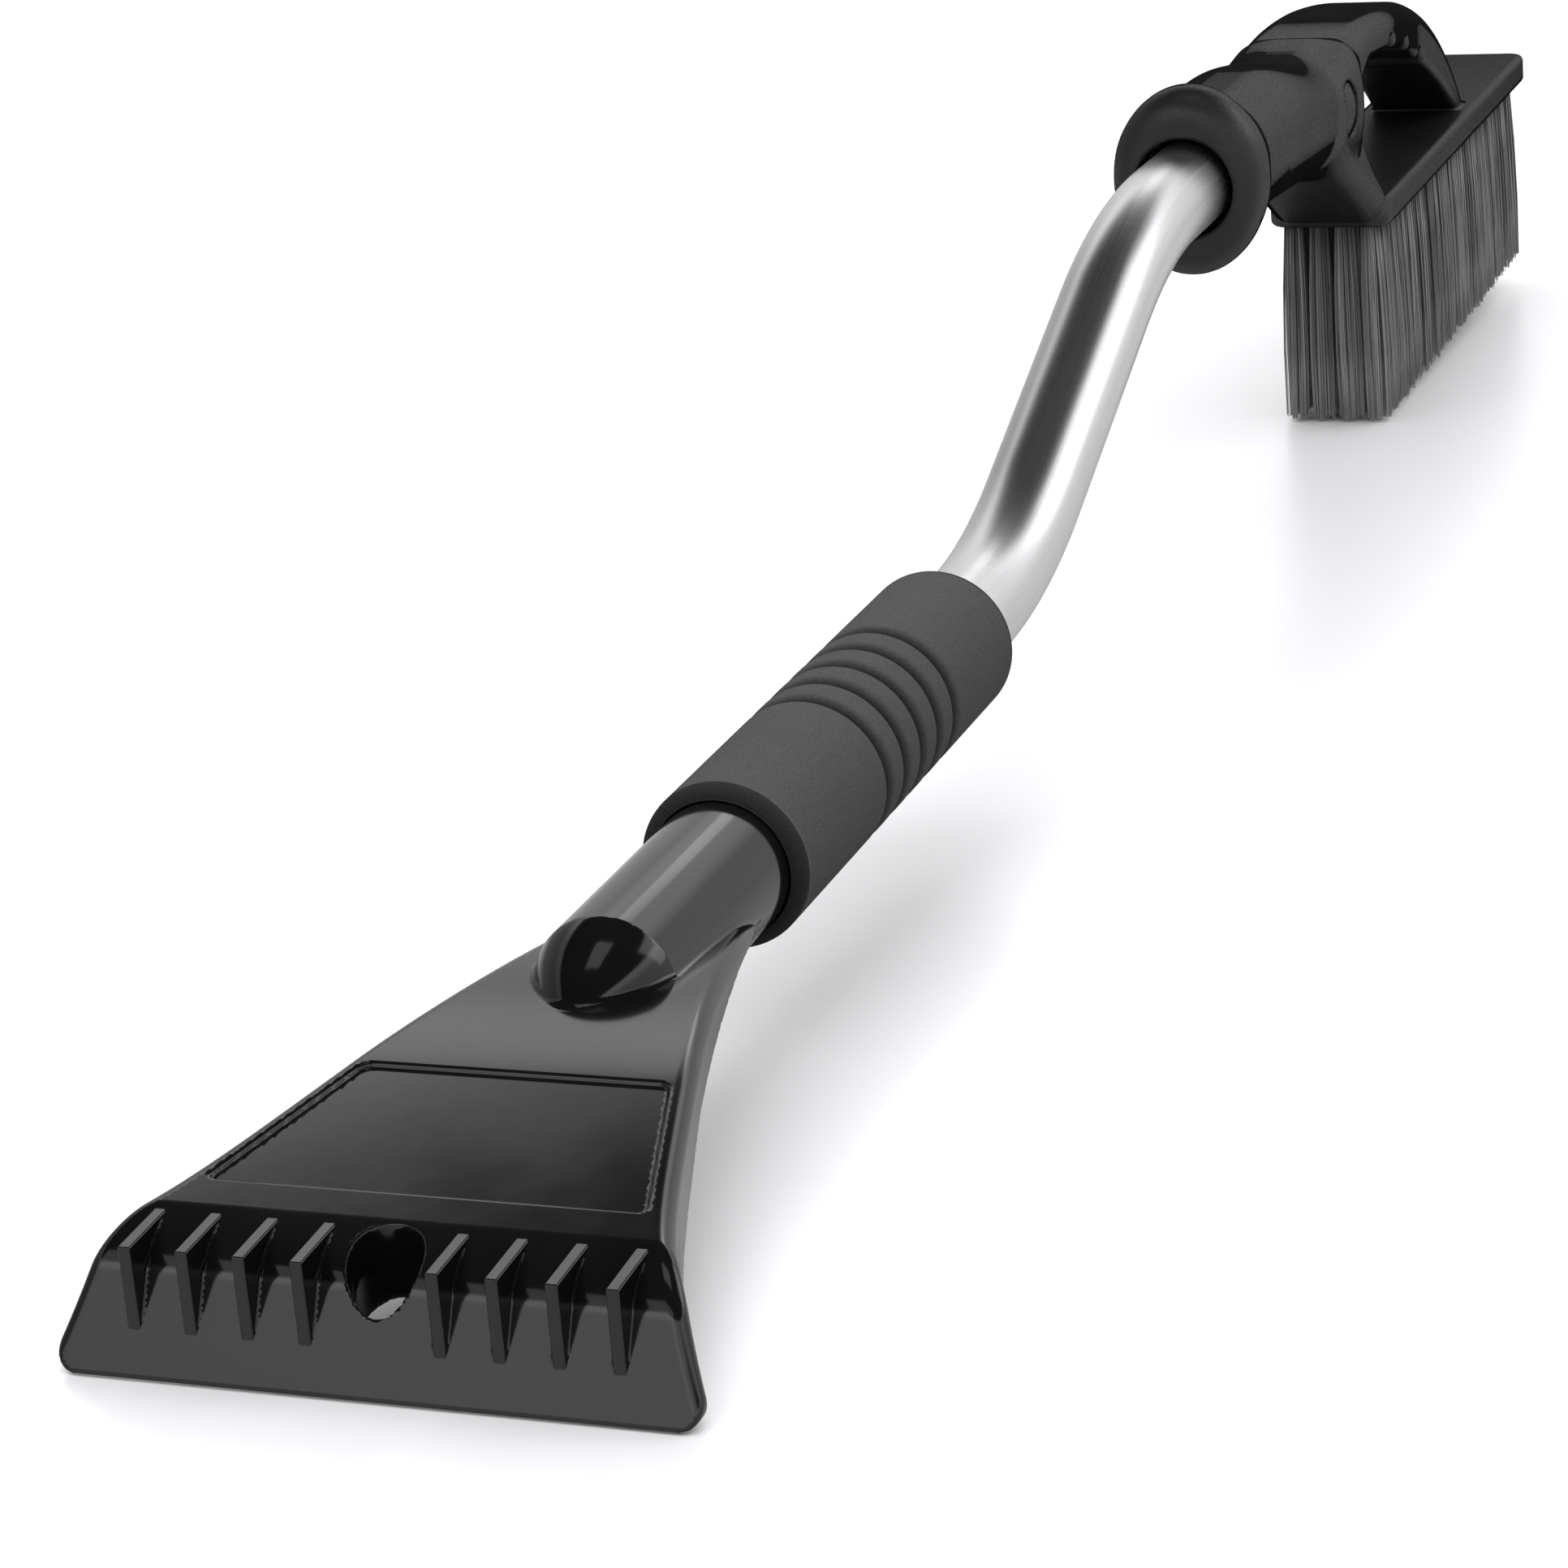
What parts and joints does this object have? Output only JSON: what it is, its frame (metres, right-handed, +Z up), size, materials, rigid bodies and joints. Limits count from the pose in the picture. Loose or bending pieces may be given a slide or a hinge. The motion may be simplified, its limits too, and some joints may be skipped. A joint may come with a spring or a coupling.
{
  "type": "windshield ice scraper with snow brush",
  "caption": "Hand tool for a car: a flared ice scraper with claws, a foam grip, a double-bent tube handle and a pull-off snow brush.",
  "frame": {"origin": "middle of the footprint on the table that the tool rests on, under the centre of its box", "axes": "+X from the scraper blade to the brush, +Z up from the table, Y = 0 is the mirror plane; it rests on its blade edge and the near bristle tips"},
  "size_m": [0.855, 0.1084, 0.1207],
  "materials": {
    "scraper_plastic": "polished black moulding",
    "pin_steel": "plain ground steel",
    "tube_aluminium": "satin anodised",
    "grip_foam": "fine-celled dark grey foam",
    "spring_steel": "bright rolled strip",
    "brush_plastic": "fine-textured black moulding",
    "anchor_wire": "flat galvanised wire",
    "button_plastic": "fine-textured black moulding",
    "bristles": "dark grey nylon filament"
  },
  "bodies": {
    "handle": {"scraper_head": "scraper_plastic", "socket_cross_pin": "pin_steel", "handle_tube": "tube_aluminium", "foam_grip": "grip_foam", "snap_spring": "spring_steel"},
    "brush": {"brush_head": "brush_plastic", "bristle_row_1": "bristles", "bristle_row_2": "bristles", "bristle_row_3": "bristles", "bristle_row_4": "bristles", "tuft_anchors": "anchor_wire"},
    "button": {"release_button": "button_plastic"}
  },
  "joints": [
    {"name": "brush_release", "type": "slide", "parent": "handle", "child": "brush", "axis": [0.999, 0, 0.0441], "range_m": [0, 0.125], "deforming": ["snap_spring"]},
    {"name": "button_press", "type": "slide", "parent": "brush", "child": "button", "axis": [0, 1, 0], "range_m": [0, 0.0036], "stiffness_N_per_m": 600, "deforming": ["snap_spring"]}
  ]
}
